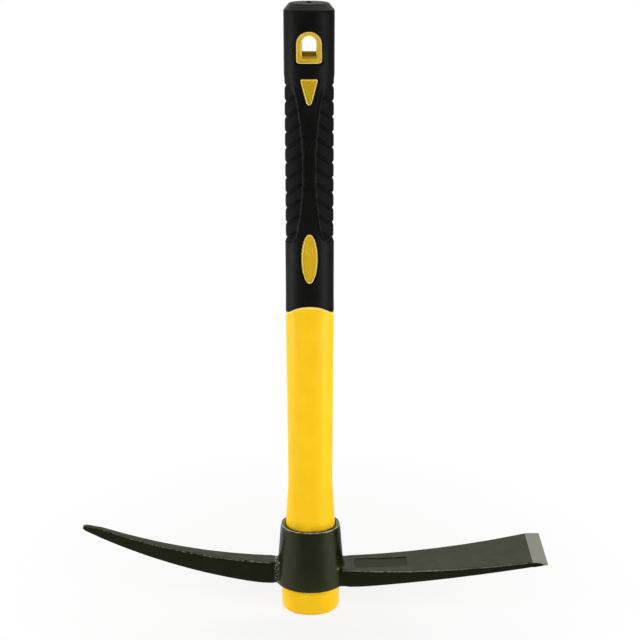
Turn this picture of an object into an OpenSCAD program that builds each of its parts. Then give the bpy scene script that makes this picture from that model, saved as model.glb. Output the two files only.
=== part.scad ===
// Mini pick mattock: a forged head with a pick tine and an adze blade on a flared composite handle.
// Millimetres. +Z runs up the handle from the middle of its butt, +X points to the blade, -Y is the front.

/* [Handle] */
// Length of the handle from the butt to the flat top of the grip
handle_len = 380; // [340:1:440]
// Width of the shaft where the grip ends, across the front
shaft_w = 28.4; // [26:0.1:30]
// Depth of the shaft there, front to back
shaft_d = 21.6; // [19.5:0.1:24]
// Width of the shaft at its narrowest, above the head
neck_w = 27.2; // [25:0.1:28]
// Height of that narrowest place
neck_z = 89; // [78:1:120]
// Width at the shoulder, where the neck opens into the flared end
shoulder_w = 29.1; // [28:0.1:30]
// Height of the shoulder
shoulder_z = 74; // [68:0.5:78]
// Width of the flared butt
butt_w = 36.4; // [34:0.1:40]
// Height of the straight part of the butt
butt_h = 14; // [10:0.5:16]
// Radius of the butt's lower edge
butt_round = 3; // [1:0.5:5]

/* [Core] */
// Diameter of the fibreglass rod
core_dia = 12; // [8:0.5:13]
// Distance from the handle's top down to the rod's upper end
core_drop = 40; // [35:1:130]

/* [Grip] */
// Length of the grip, at its sides
grip_len = 178.5; // [165:0.5:210]
// Width of the grip
grip_w = 28.2; // [26:0.1:29.5]
// Thickness of the rubber at the sides
grip_wall = 2.4; // [1.8:0.1:3]
// Thickness of the rubber over the top
cap_wall = 4.5; // [3:0.5:6]
// Height of the chamfer round the top
top_chamfer_h = 3.8; // [2:0.1:6]
// Width of that chamfer
top_chamfer_w = 3.6; // [2:0.1:6]
// Half width of the arch in the lower edge
arch_half = 12.2; // [8:0.1:12.5]
// Rise of that arch
arch_rise = 6; // [3:0.1:8]
// Diameter of the moulding nub on the top
nub_dia = 2.4; // [1:0.1:4]
// Height of that nub
nub_h = 0.8; // [0.3:0.1:1.5]
// Gap between a moulded layer and the layer under it
bond_gap = 0.05; // [0.02:0.01:0.1]

/* [Grip grooves] */
// Grooves on each side
groove_count = 11; // [5:1:13]
// Distance from the handle's top down to the lowest groove, at the side
groove_drop = 133.6; // [120:0.1:140]
// Distance between grooves
groove_pitch = 8.79; // [6:0.01:9]
// Width of a groove
groove_w = 2; // [1:0.1:3]
// Depth of a groove at the side
groove_depth = 1; // [0.4:0.1:1.4]
// Slope of a groove, rising towards the middle
groove_slope = 30; // [0:1:40]
// Half width of the smooth panel between the grooves, at its waist
waist_half = 3.6; // [3:0.1:6]
// Distance from the handle's top down to that waist
waist_drop = 90; // [80:1:115]
// Radius of the panel's edge above the waist
waist_upper_r = 260; // [200:10:800]
// Radius of the panel's edge below the waist
waist_lower_r = 165; // [100:5:300]

/* [Hang hole and windows] */
// Width of the hang hole
hole_w = 8; // [5:0.1:9]
// Height of the hang hole
hole_h = 11.1; // [9:0.1:13]
// Radius of the hang hole's lower corners
hole_round = 0.6; // [0.3:0.1:1.5]
// Distance from the handle's top down to the middle of the hang hole
hole_drop = 22.4; // [16:0.1:28]
// Width of the liner that shows at the sides of the hole
liner_side = 3; // [1.5:0.1:3.5]
// Width of the liner over the hole
liner_top = 2.5; // [1.5:0.1:3.5]
// Width of the liner under the hole
liner_foot = 3.6; // [2:0.1:5]
// Radius of the liner's lower corners
liner_round = 1.5; // [0.5:0.1:2.5]
// Width of the pointed window
point_w = 10; // [6:0.1:12]
// Distance from the handle's top down to its flat top edge
point_drop = 40.1; // [35:0.1:55]
// Length of the pointed window
point_len = 14.2; // [10:0.1:20]
// Radius of its tip
point_tip = 1.6; // [0.8:0.1:2.5]
// Radius of its two upper corners
point_corner = 0.9; // [0.3:0.1:2]
// Width of the oval window
oval_w = 9.6; // [6:0.1:14]
// Length of the oval window
oval_len = 29.8; // [20:0.1:34]
// Distance from the handle's top down to the middle of the oval window
oval_drop = 143.5; // [135:0.1:150]

/* [Eye collar] */
// Height of the collar's lower edge, on the seated head
collar_z = 18.3; // [14:0.1:24]
// Height of the collar
collar_h = 41.7; // [36:0.1:50]
// Width of the eye's upper opening
eye_top_w = 32; // [30.5:0.1:33]
// Gap between the eye and the flared handle at the collar's lower edge
eye_gap = 0.3; // [0.2:0.05:0.6]
// Wall of the collar at its upper edge
collar_top_wall = 2.6; // [2:0.1:5]
// Wall of the collar at its lower edge
collar_foot_wall = 3.65; // [2.5:0.05:6]

/* [Pick tine] */
// Reach of the tine from the handle's axis
tine_reach = 143; // [110:1:200]
// Radius of the tine's upper edge, seen from the front
tine_top_r = 357; // [250:1:500]
// Lowest point of the upper edge, out from the axis
tine_top_x = 7; // [0:0.5:20]
// Height of the upper edge there
tine_top_z = 33.5; // [29:0.1:40]
// Height of the tine at its root
tine_root_h = 16; // [10:0.1:17]
// Radius of the tine's lower edge
tine_low_r = 341; // [250:1:500]
// Height of the tine at its tip, before the point is ground
tine_tip_h = 5; // [3:0.1:8]
// Length of the ground point
point_grind_len = 12; // [8:1:30]
// Height left at the tip of the point
point_grind_h = 2.4; // [1.5:0.1:4]
// Thickness of the tine at its root
tine_root_t = 11.3; // [8:0.1:14]
// Thickness of the tine at its tip
tine_tip_t = 3.2; // [2:0.1:6]

/* [Adze blade] */
// Reach of the blade from the handle's axis
blade_reach = 147; // [110:1:200]
// Radius of the blade's upper face, seen from the front
blade_top_r = 624; // [400:1:900]
// Lowest point of the upper face, out from the axis
blade_top_x = 21; // [5:0.5:25]
// Height of the upper face there
blade_top_z = 30.9; // [27:0.1:36]
// Radius of the blade's lower face
blade_low_r = 1140; // [600:10:2000]
// Thickness of the blade at its root
blade_root_t = 12.7; // [8:0.1:14]
// Thickness of the blade where the bevel starts
blade_tip_t = 3; // [2:0.1:6]
// Width of the blade at its root
blade_root_w = 20.2; // [14:0.1:26]
// Width of the cutting edge
edge_w = 40; // [30:0.5:70]
// Thickness left at the cutting edge
edge_t = 0.4; // [0.3:0.1:1.5]
// Length of the ground bevel
bevel_len = 9.2; // [5:0.1:16]
// Start of the stamped panel, out from the axis
stamp_x = 28; // [25:0.1:40]
// Length of the stamped panel
stamp_len = 33; // [15:0.5:45]
// Width of the stamped panel
stamp_w = 11; // [6:0.5:14]
// Depth of the stamped panel
stamp_depth = 0.5; // [0.2:0.1:1]

/* [Hidden] */
$fn = 180;
arm_fn = 720;
arc_steps = 8;
over = 1;
far = 4 * handle_len;

steel_paint = [0.16, 0.165, 0.12];
jacket_yellow = [0.96, 0.77, 0.13];
rubber_black = [0.09, 0.09, 0.09];
glass_grey = [0.78, 0.74, 0.6];

// Every section of the handle and the eye is an ellipse of this proportion
oval_ratio = shaft_d / shaft_w;

// The handle's flare, from the shoulder down to the butt
flare_slope = (butt_w - shoulder_w) / 2 / (shoulder_z - butt_h);
function flare_half(z) = butt_w / 2 - flare_slope * (z - butt_h);

collar_top = collar_z + collar_h;
eye_foot_half = flare_half(collar_z) + eye_gap;
eye_top_half = eye_top_w / 2;
collar_foot_half = eye_foot_half + collar_foot_wall;
collar_top_half = eye_top_half + collar_top_wall;

// Heights on the grip, which all keep their distance from the handle's top
core_top = handle_len - core_drop;
grip_z = handle_len - grip_len;
groove_z = handle_len - groove_drop;
waist_z = handle_len - waist_drop;
hole_z = handle_len - hole_drop;
point_top = handle_len - point_drop;
oval_z = handle_len - oval_drop;

// The jacket under the grip
inner_half = grip_w / 2 - grip_wall;
inner_top = handle_len - cap_wall;

arch_r = (arch_half * arch_half + arch_rise * arch_rise) / (2 * arch_rise);
arch_centre_z = grip_z + arch_rise - arch_r;

// Centre of an arc of radius r that passes two points given as [x, z], curving upwards
function arc_centre(a, b, r) =
  let (chord = b - a, half = norm(chord) / 2, mid = (a + b) / 2)
  mid + [-chord[1], chord[0]] / norm(chord) * sqrt(r * r - half * half);

// Points along an arc about a centre, from one angle to another
function arc_points(centre, r, from, to) =
  [for (i = [0 : arc_steps]) let (a = from + (to - from) * i / arc_steps) centre + r * [cos(a), sin(a)]];

// Heights of the upper edges, out along each arm
function tine_upper(x) = tine_top_z + tine_top_r - sqrt(tine_top_r * tine_top_r - pow(x - tine_top_x, 2));
function blade_upper(x) = blade_top_z + blade_top_r - sqrt(blade_top_r * blade_top_r - pow(x - blade_top_x, 2));

root_x = collar_foot_half;
bevel_x = blade_reach - bevel_len;
tine_low_root = [root_x, tine_upper(root_x) - tine_root_h];
tine_low_tip = [tine_reach, tine_upper(tine_reach) - tine_tip_h];
blade_low_root = [root_x, blade_upper(root_x) - blade_root_t];
blade_low_tip = [bevel_x, blade_upper(bevel_x) - blade_tip_t];
tine_low_centre = arc_centre(tine_low_root, tine_low_tip, tine_low_r);
blade_low_centre = arc_centre(blade_low_root, blade_low_tip, blade_low_r);
blade_low_edge = blade_low_centre[1] - sqrt(blade_low_r * blade_low_r - pow(blade_reach - blade_low_centre[0], 2));

// A solid drawn by its outline seen from the front, [x, z], through the whole depth
module through() {
  rotate([90, 0, 0])
    linear_extrude(height = far, center = true)
      children();
}

// An oval bar of even section between two heights
module oval_bar(half, z0, z1) {
  translate([0, 0, z0])
    linear_extrude(height = z1 - z0)
      scale([1, oval_ratio])
        circle(r = half);
}

// An oval taper between two heights
module oval_taper(half0, z0, half1, z1) {
  scale([1, oval_ratio, 1])
    translate([0, 0, z0])
      cylinder(h = z1 - z0, r1 = half0, r2 = half1);
}

// Arched outline: a half round on a square foot, with round lower corners
module arched(width, height, foot_round) {
  half = width / 2;
  translate([0, height - half])
    circle(r = half);
  translate([-half, foot_round])
    square([width, height - half - foot_round]);
  translate([foot_round - half, 0])
    square([width - 2 * foot_round, height - half]);
  for (side = [-1, 1])
    translate([side * (half - foot_round), foot_round])
      circle(r = foot_round);
}

module liner_outline(grow) {
  translate([0, hole_z - hole_h / 2 - liner_foot - grow])
    arched(hole_w + 2 * (liner_side + grow), hole_h + liner_foot + liner_top + 2 * grow, liner_round + grow);
}

// A wedge with round corners: the flank touches the tip's circle and the upper corner's circle
module pointed_outline(grow) {
  tip = [0, point_top - point_len + point_tip];
  corner = [point_w / 2 - point_corner, point_top - point_corner];
  rise = corner - tip;
  flank = atan2(rise[1], rise[0]) - acos((point_tip - point_corner) / norm(rise));
  right = concat(
    arc_points(corner, point_corner + grow, 90, flank),
    arc_points(tip, point_tip + grow, flank, -90)
  );
  polygon(concat(right, [for (i = [len(right) - 2 : -1 : 0]) [-right[i][0], right[i][1]]]));
}

module oval_outline(grow) {
  translate([0, oval_z])
    scale([oval_w / 2 + grow, oval_len / 2 + grow])
      circle(r = 1);
}

module window_outlines(grow) {
  liner_outline(grow);
  pointed_outline(grow);
  oval_outline(grow);
}

// What lies below the grip's lower edge
module below_grip(shift) {
  translate([-grip_w, -over])
    square([2 * grip_w, grip_z + over + shift]);
  translate([0, arch_centre_z])
    circle(r = arch_r + shift);
}

// The outside of the grip, which the islands are flush with
module grip_outside() {
  half = grip_w / 2;
  oval_bar(half, grip_z - over, handle_len - top_chamfer_h);
  oval_taper(half, handle_len - top_chamfer_h, half - top_chamfer_w, handle_len);
}

module under_grip(grow) {
  oval_bar(inner_half + grow, grip_z - over, inner_top + grow);
}

// One side's groove field: outside the smooth panel's edge
module groove_field() {
  intersection() {
    union() {
      intersection() {
        translate([waist_half + waist_upper_r, waist_z])
          circle(r = waist_upper_r);
        translate([0, waist_z])
          square([grip_w, handle_len]);
      }
      intersection() {
        translate([waist_half + waist_lower_r, waist_z])
          circle(r = waist_lower_r);
        square([grip_w, waist_z]);
      }
    }
    union()
      for (i = [0 : groove_count - 1])
        translate([grip_w / 2, groove_z + i * groove_pitch])
          rotate(-groove_slope)
            translate([-grip_w, -groove_w / 2])
              square([2 * grip_w, groove_w]);
  }
}

module grooves() {
  difference() {
    for (side = [0, 1])
      mirror([side, 0, 0])
        through()
          groove_field();
    oval_bar(grip_w / 2 - groove_depth, 0, handle_len + over);
  }
}

module shaft() {
  half = butt_w / 2;
  scale([1, oval_ratio, 1])
    rotate_extrude()
      union() {
        square([half - butt_round, butt_h]);
        translate([0, butt_round])
          square([half, butt_h - butt_round]);
        translate([half - butt_round, butt_round])
          circle(r = butt_round);
      }
  oval_taper(half, butt_h, shoulder_w / 2, shoulder_z);
  oval_taper(shoulder_w / 2, shoulder_z, neck_w / 2, neck_z);
  oval_taper(neck_w / 2, neck_z, shaft_w / 2, grip_z);
}

module handle_jacket() {
  color(jacket_yellow)
    difference() {
      union() {
        shaft();
        under_grip(0);
        intersection() {
          grip_outside();
          through()
            union() {
              window_outlines(0);
              translate([0, arch_centre_z])
                circle(r = arch_r);
            }
        }
      }
      through()
        translate([0, hole_z - hole_h / 2])
          arched(hole_w, hole_h, hole_round);
      translate([0, 0, -over])
        cylinder(d = core_dia + 2 * bond_gap, h = core_top + bond_gap + over);
    }
}

module grip() {
  color(rubber_black) {
    difference() {
      grip_outside();
      through()
        union() {
          below_grip(bond_gap);
          window_outlines(bond_gap);
        }
      under_grip(bond_gap);
      grooves();
    }
    translate([0, 0, handle_len - over])
      cylinder(d = nub_dia, h = nub_h + over);
  }
}

module fibreglass_core() {
  color(glass_grey)
    cylinder(d = core_dia, h = core_top);
}

module collar() {
  oval_taper(collar_foot_half, collar_z, collar_top_half, collar_top);
}

// The eye is tapered through the collar, and clears what the arms leave under it
module eye() {
  lean = (eye_foot_half - eye_top_half) / collar_h * over;
  oval_taper(eye_foot_half, collar_z, eye_top_half - lean, collar_top + over);
  oval_bar(eye_foot_half, 0, collar_z);
}

// An arm seen from the front: between a lower arc and an upper arc, out to its reach
module arm_side(low_centre, low_r, top_x, top_z, top_r, reach) {
  intersection() {
    difference() {
      translate(low_centre)
        circle(r = low_r, $fn = arm_fn);
      translate([top_x, top_z + top_r])
        circle(r = top_r, $fn = arm_fn);
    }
    square([reach, top_z + top_r]);
  }
}

module tine() {
  half_root = tine_root_t / 2;
  half_tip = tine_tip_t / 2;
  grind_x = tine_reach - point_grind_len;
  mirror([1, 0, 0])
    intersection() {
      through()
        difference() {
          arm_side(tine_low_centre, tine_low_r, tine_top_x, tine_top_z, tine_top_r, tine_reach);
          polygon([
            [grind_x, tine_upper(grind_x)],
            [tine_reach, tine_low_tip[1] + point_grind_h],
            [tine_reach, far],
            [grind_x, far]
          ]);
        }
      linear_extrude(height = far)
        union() {
          polygon([
            [0, -half_root],
            [root_x, -half_root],
            [tine_reach - half_tip, -half_tip],
            [tine_reach - half_tip, half_tip],
            [root_x, half_root],
            [0, half_root]
          ]);
          translate([tine_reach - half_tip, 0])
            circle(r = half_tip);
        }
    }
}

module blade() {
  half_root = blade_root_w / 2;
  half_edge = edge_w / 2;
  intersection() {
    difference() {
      through()
        arm_side(blade_low_centre, blade_low_r, blade_top_x, blade_top_z, blade_top_r, blade_reach);
      through()
        polygon([
          [bevel_x, blade_upper(bevel_x)],
          [blade_reach, blade_low_edge + edge_t],
          [blade_reach + over, blade_low_edge + edge_t],
          [blade_reach + over, far],
          [bevel_x, far]
        ]);
    }
    linear_extrude(height = far)
      polygon([
        [0, -half_root],
        [root_x, -half_root],
        [blade_reach, -half_edge],
        [blade_reach, half_edge],
        [root_x, half_root],
        [0, half_root]
      ]);
  }
}

// The shallow panel in the blade's upper face, of even depth along its curve
module stamp() {
  intersection() {
    through()
      intersection() {
        translate([blade_top_x, blade_top_z + blade_top_r])
          circle(r = blade_top_r + stamp_depth, $fn = arm_fn);
        translate([stamp_x, 0])
          square([stamp_len, blade_top_z + blade_top_r]);
      }
    translate([0, -stamp_w / 2, 0])
      cube([far, stamp_w, far]);
  }
}

module head() {
  color(steel_paint)
    difference() {
      union() {
        collar();
        tine();
        blade();
      }
      eye();
      stamp();
    }
}

head();
handle_jacket();
grip();
fibreglass_core();
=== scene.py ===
# %% [markdown]
# # A short pick mattock
#
# The tool stands on the flared butt of its handle: a forged head with a pick tine and an adze blade, a yellow
# moulded jacket over a glass-fibre rod, and a black rubber grip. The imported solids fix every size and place.
# This lesson models the three pieces that show once more, with the rounded edges, grooves and finishes that
# the solids leave out, and keeps the rod as it is. Lengths are in millimetres, and MM makes them metres.

# %% Load the solids
import math

import bmesh
import bpy
import mathutils
import numpy as np
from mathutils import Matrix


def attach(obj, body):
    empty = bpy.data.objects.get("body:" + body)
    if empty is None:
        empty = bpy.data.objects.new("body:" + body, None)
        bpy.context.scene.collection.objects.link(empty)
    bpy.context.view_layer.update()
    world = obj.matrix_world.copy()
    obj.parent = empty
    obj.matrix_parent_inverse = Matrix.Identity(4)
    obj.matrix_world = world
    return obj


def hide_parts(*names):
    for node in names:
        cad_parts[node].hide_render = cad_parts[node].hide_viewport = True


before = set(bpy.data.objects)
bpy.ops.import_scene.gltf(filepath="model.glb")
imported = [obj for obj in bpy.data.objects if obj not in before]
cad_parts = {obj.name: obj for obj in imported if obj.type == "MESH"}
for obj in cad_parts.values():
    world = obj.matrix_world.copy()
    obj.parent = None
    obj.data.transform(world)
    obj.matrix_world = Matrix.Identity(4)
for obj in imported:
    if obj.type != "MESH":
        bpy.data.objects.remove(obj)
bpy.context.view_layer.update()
MM = 0.001

# %% [markdown]
# ## The camera
#
# The photograph looks down a little. A camera could be placed by eye, but three sizes of the tool are known,
# so its distance, height and tilt were solved from where those fall in the picture. It is square to the tool.

# %% Camera
PHOTO_SIDE_PX, FOCAL_PX, SENSOR_WIDE = 640, 1352.6, 36
CAMERA_PLACE, CAMERA_TILT = (0.006, -0.75, 0.4761), 20.52


def add_new(operator, **settings):
    """Adds one object by an operator, with nothing else selected."""
    bpy.ops.object.select_all(action="DESELECT")
    operator(**settings)
    return bpy.context.object


looking_down = (math.radians(90 - CAMERA_TILT), 0, 0)
camera = add_new(bpy.ops.object.camera_add, location=CAMERA_PLACE, rotation=looking_down)
camera.data.sensor_width = SENSOR_WIDE
camera.data.lens = SENSOR_WIDE * FOCAL_PX / PHOTO_SIDE_PX
bpy.context.scene.camera = camera
print("lens", round(camera.data.lens, 2))

# %% [markdown]
# ## Helpers for working as by hand
#
# An operator acts on whatever is selected, so each step starts by leaving one object selected. In edit mode
# the faces, edges or points to work on are picked by a test of their place. A modifier is added, set and
# applied in one go, so that every piece ends as a plain mesh.


# %% Helpers for selecting and applying
def stop_editing():
    """Goes back to object mode."""
    if bpy.context.mode != "OBJECT":
        bpy.ops.object.mode_set(mode="OBJECT")


def activate(obj):
    """Leaves obj as the only selected object, in object mode."""
    stop_editing()
    bpy.ops.object.select_all(action="DESELECT")
    obj.select_set(True)
    bpy.context.view_layer.objects.active = obj


def start_editing(obj, action="DESELECT"):
    """Opens obj in edit mode, with nothing selected or everything."""
    activate(obj)
    bpy.ops.object.mode_set(mode="EDIT")
    bpy.ops.mesh.select_mode(type="VERT")
    bpy.ops.mesh.select_all(action=action)


def pick(obj, kind, test):
    """Selects only the points, edges or faces that pass the test, and counts them."""
    bpy.ops.mesh.select_mode(type=kind)
    bpy.ops.mesh.select_all(action="DESELECT")
    mesh = bmesh.from_edit_mesh(obj.data)
    items = {"VERT": mesh.verts, "EDGE": mesh.edges, "FACE": mesh.faces}[kind]
    mesh.normal_update()
    picked = [item for item in items if test(item)]
    for item in picked:
        item.select_set(True)
    mesh.select_flush_mode()
    bmesh.update_edit_mesh(obj.data)
    return len(picked)


def extrude(way=(0, 0, 0)):
    """Extrudes what is selected and moves it."""
    bpy.ops.mesh.extrude_region_move(TRANSFORM_OT_translate={"value": way})


def count_faces(obj):
    """Prints how many faces a piece has so far."""
    print(obj.name, "faces", len(obj.data.polygons))


def apply_modifier(obj, kind, **settings):
    """Adds a modifier to obj, sets it and applies it."""
    activate(obj)
    modifier = obj.modifiers.new(kind.lower(), kind)
    for name, value in settings.items():
        setattr(modifier, name, value)
    bpy.ops.object.modifier_apply(modifier=modifier.name)


def tidy_normals(obj):
    """Merges doubled points and turns every face outwards."""
    start_editing(obj, "SELECT")
    bpy.ops.mesh.remove_doubles(threshold=0.000001)
    bpy.ops.mesh.normals_make_consistent(inside=False)
    stop_editing()


print("helpers ready in", bpy.context.mode, "mode")

# %% [markdown]
# ## Oval tubes
#
# The handle, the grip and the eye are all ovals of one proportion. One could be turned on a lathe and
# flattened. Here it is drawn ring by ring, because each ring is a size that can be read off the tool: a
# circle is added at the first size, flattened once, and extruded and resized to each next ring.

# %% Ring by ring
OVAL = 21.6 / 28.4


def ring_stack(name, rings, steps):
    """An open oval tube through rings given as (half width, height)."""
    half, height = rings[0]
    place = (0, 0, height * MM)
    obj = add_new(bpy.ops.mesh.primitive_circle_add, vertices=steps, radius=half * MM, location=place)
    obj.name = obj.data.name = name
    bpy.ops.object.transform_apply()
    start_editing(obj, "SELECT")
    bpy.ops.transform.resize(value=(1, OVAL, 1), center_override=place)
    for next_half, next_height in rings[1:]:
        extrude((0, 0, (next_height - height) * MM))
        grow = next_half / half
        bpy.ops.transform.resize(value=(grow, grow, 1), center_override=(0, 0, next_height * MM))
        half, height = next_half, next_height
    stop_editing()
    return obj


def bridge_ends(obj):
    """Bridges the first and last ring of a tube that has come back to its start."""
    start_editing(obj)
    bpy.ops.mesh.select_mode(type="EDGE")
    bpy.ops.mesh.select_non_manifold()
    bpy.ops.mesh.bridge_edge_loops()
    tidy_normals(obj)


def fill_ends(obj):
    """Closes every open end with a face."""
    start_editing(obj, "SELECT")
    bpy.ops.mesh.fill_holes(sides=0)
    tidy_normals(obj)


print("oval proportion", round(OVAL, 3))

# %% [markdown]
# ## The head: the eye collar
#
# The collar is a tapered oval tube, wider at its foot. Its rings run up the outside, over the rounded rim and
# down the inside of the eye. Only 40 points go round it, because a subdivision surface will smooth it later,
# and a coarse cage is easier to pull the two arms out of.

# %% Collar
COLLAR_FOOT, COLLAR_RIM, COLLAR_STEPS = 18.3, 60.0, 40
ARM_ROWS = (19.0, 23.8, 28.6, 32.45)
OUTSIDE_ROWS, INSIDE_ROWS = (*ARM_ROWS, 35.6, 40.0, 48.0, 55.0, 58.9), (58.6, 48.0, 36.0, 26.0, 19.2)
RIM_RINGS = ((18.45, 59.75), (17.85, COLLAR_RIM), (16.75, COLLAR_RIM), (16.15, 59.7))
FOOT_OUTSIDE, FOOT_INSIDE = (21.2, COLLAR_FOOT), (18.75, COLLAR_FOOT)
# Half width at the foot, and how much is lost up to the rim.
OUTSIDE_TAPER, INSIDE_TAPER = (21.9, 3.3), (18.24, 2.24)


def collar_half(z, foot_half, taper):
    """Half width of the collar at a height."""
    return foot_half - taper * (z - COLLAR_FOOT) / (COLLAR_RIM - COLLAR_FOOT)


outside = [(collar_half(z, *OUTSIDE_TAPER), z) for z in OUTSIDE_ROWS]
inside = [(collar_half(z, *INSIDE_TAPER), z) for z in INSIDE_ROWS]
collar_rings = [FOOT_OUTSIDE, *outside, *RIM_RINGS, *inside, FOOT_INSIDE]
head = ring_stack("head_forging", collar_rings, COLLAR_STEPS)
bridge_ends(head)
count_faces(head)

# %% [markdown]
# ## The head: the arms' curves
#
# Seen from the front, each arm lies between two large arcs. The tine is level beside the eye and sweeps up to
# a point whose top is ground down a little. The blade rises less, thins towards its edge, and widens from 20
# to 40 millimetres. The arcs are written once here, as distance out from the handle against height.

# %% Arcs of the arms
ROOT_OUT, ROOT_FOOT, ROOT_EASED = 21.9, 19.0, 33.0
TINE_REACH, GRIND_START = 143, 131.0
BLADE_END, BEVEL_START = 147.0, 137.8
# Each upper arc: how far out its lowest place is, the height there, and its radius.
TINE_TOP, BLADE_TOP = (7.0, 33.5, 357), (21.0, 30.9, 624)
# Each arm's height at the root and at the end of its lower arc, and that arc's radius.
TINE_TALL, BLADE_TALL = (16.0, 5.0, 341), (12.7, 3.0, 1140)
POINT_TALL, EDGE_TALL = 3.0, 0.4
TINE_HALVES, BLADE_HALVES = (5.65, 1.6), (10.1, 20.0)


def arc(out, lowest_out, lowest_z, radius):
    """Height of an upward arc, at a distance out from the handle."""
    return lowest_z + radius - math.sqrt(radius**2 - (out - lowest_out) ** 2)


def between(x, x0, y0, x1, y1):
    """The straight line through two places, read at x."""
    return y0 + (y1 - y0) * (x - x0) / (x1 - x0)


def lower_arc(top, root_tall, end_tall, radius, end):
    """An arm's lower arc, through its root and its end, in the form that arc() takes."""
    root = np.array([ROOT_OUT, arc(ROOT_OUT, *top) - root_tall])
    tip = np.array([end, arc(end, *top) - end_tall])
    chord = tip - root
    long = np.linalg.norm(chord)
    across = np.array([-chord[1], chord[0]]) / long
    centre = (root + tip) / 2 + across * math.sqrt(radius**2 - long**2 / 4)
    return centre[0], centre[1] - radius, radius


def section(out, top_arc, low_arc, ground_from, reach, end_tall, halves):
    """Half width, lower and upper edge of an arm; its lower edge runs level into the collar's foot."""
    top = arc(min(out, ground_from), *top_arc)
    if out > ground_from:
        top = between(out, ground_from, top, reach, arc(reach, *low_arc) + end_tall)
    low = arc(out, *low_arc)
    if out < ROOT_EASED:
        low = between(out, ROOT_OUT, ROOT_FOOT, ROOT_EASED, arc(ROOT_EASED, *low_arc))
    return between(out, ROOT_OUT, halves[0], reach, halves[1]), low, top


tine_low = lower_arc(TINE_TOP, *TINE_TALL, TINE_REACH)
blade_low = lower_arc(BLADE_TOP, *BLADE_TALL, BEVEL_START)
TINE = (TINE_TOP, tine_low, GRIND_START, TINE_REACH, POINT_TALL, TINE_HALVES)
BLADE = (BLADE_TOP, blade_low, BEVEL_START, BLADE_END, EDGE_TALL, BLADE_HALVES)
for title, arm in (("tine", TINE), ("blade", BLADE)):
    print(title, [[round(float(v), 2) for v in section(out, *arm)] for out in (24, 80, 137)])

# %% [markdown]
# ## The head: pulling the arms out
#
# The arms are extruded from the collar itself, so that all is one skin, as in a forging. The ring at their
# upper edge is tilted first, because the tine meets the collar higher than the blade does. Each extrusion is
# then moved and resized until its section has the size that the arcs give.

# %% Tilt the ring where the arms end
TILT_RISE, TILT_HALF = 1.45, 20.8
ring = [v for v in head.data.vertices if abs(v.co.z / MM - ARM_ROWS[3]) < 0.1]
for v in ring:
    v.co.z -= TILT_RISE * v.co.x / TILT_HALF
print(len(ring), "points tilted by", TILT_RISE, "mm each way")


# %% Extrude the arms
def fit_section(obj, side, out, wanted, flatten):
    """Moves and resizes the selected faces to one section of an arm."""
    half, low, top = wanted
    mesh = bmesh.from_edit_mesh(obj.data)
    at = np.array([v.co for v in mesh.verts if v.select]) / MM
    middle = (low + top) / 2
    shift = (side * out - at[:, 0].mean(), 0, middle - (at[:, 2].min() + at[:, 2].max()) / 2)
    bpy.ops.transform.translate(value=[s * MM for s in shift])
    grow = (0 if flatten else 1, half / abs(at[:, 1]).max(), (top - low) / np.ptp(at[:, 2]))
    bpy.ops.transform.resize(value=grow, center_override=(side * out * MM, 0, middle * MM))


def pull_arm(obj, side, half_angle, stations):
    """Extrudes an arm through stations given as (distance out, section)."""

    def root(face):
        c = face.calc_center_median() / MM
        turn = math.degrees(math.atan2(c.y / OVAL, side * c.x))
        return abs(turn) < half_angle and ARM_ROWS[0] < c.z < ARM_ROWS[3] and face.normal.x * side > 0.3

    start_editing(obj)
    faces = pick(obj, "FACE", root)
    for i, (out, wanted) in enumerate(stations):
        extrude()
        fit_section(obj, side, out, wanted, i == 0)
    stop_editing()
    return faces


TINE_STOPS = (22.4, 25.5, 32, 40, 50, 60, 70, 80, 90, 100, 110, 119, 126, 131, 135, 138.2)
BLADE_STOPS = (23.0, 26.0, 32, 40, 50, 60, 72, 84, 96, 108, 119, 128, 134, BEVEL_START, 142, 146.3, BLADE_END)
TINE_ROOT_ANGLE, BLADE_ROOT_ANGLE = 18.5, 36.5
# The tine's rounded nose: distance out, share of the thickness, and where its height starts and ends.
NOSE = ((140.6, 1.0, 0.0, 1.0), (142.2, 0.95, 0.08, 0.80), (142.9, 0.78, 0.20, 0.56))
tine_stations = [(out, section(out, *TINE)) for out in TINE_STOPS]
for out, thick, under, up_to in NOSE:
    half, low, top = section(out, *TINE)
    tine_stations.append((out, (half * thick, low + (top - low) * under, low + (top - low) * up_to)))
blade_stations = [(out, section(out, *BLADE)) for out in BLADE_STOPS]
print("tine root faces", pull_arm(head, -1, TINE_ROOT_ANGLE, tine_stations))
print("blade root faces", pull_arm(head, 1, BLADE_ROOT_ANGLE, blade_stations))

# %% [markdown]
# ## The head: edges
#
# Forged edges are slightly round, and the ground facet at the blade's end is crisp. A bevel could round the
# long edges, but it would end in odd corners at the thin end. So both get a crease, which holds an edge
# against the subdivision: a weak one along the arms, a full one round the facet.

# %% Round the long edges and crease the ground facet
LONG_CREASE, ARM_START = 0.36, 22
# Least angles between two faces, in radians, at a corner of an arm and at the facet.
CORNER_ANGLE, FACET_ANGLE = 0.9, 0.3


def long_edge(edge):
    """Whether an edge runs along a corner of an arm, clear of the ground ends."""
    a, b = (v.co / MM for v in edge.verts)
    out = abs(a.x + b.x) / 2
    limit = GRIND_START + 4 if a.x < 0 else BEVEL_START
    if not ARM_START < out < limit or abs(a.x - b.x) < abs(a.y - b.y) + abs(a.z - b.z):
        return False
    return len(edge.link_faces) == 2 and edge.calc_face_angle() > CORNER_ANGLE


def crisp_edge(edge):
    """Whether an edge bounds the ground facet or the cutting edge."""
    a, b = (v.co / MM for v in edge.verts)
    if min(a.x, b.x) < BEVEL_START - 0.1 or len(edge.link_faces) < 2:
        return False
    across = abs(a.x - b.x) < 0.01
    if across and abs(a.x - BEVEL_START) < 0.05:
        return all(face.normal.z > 0.5 for face in edge.link_faces[:2])
    return edge.calc_face_angle() > FACET_ANGLE


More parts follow.
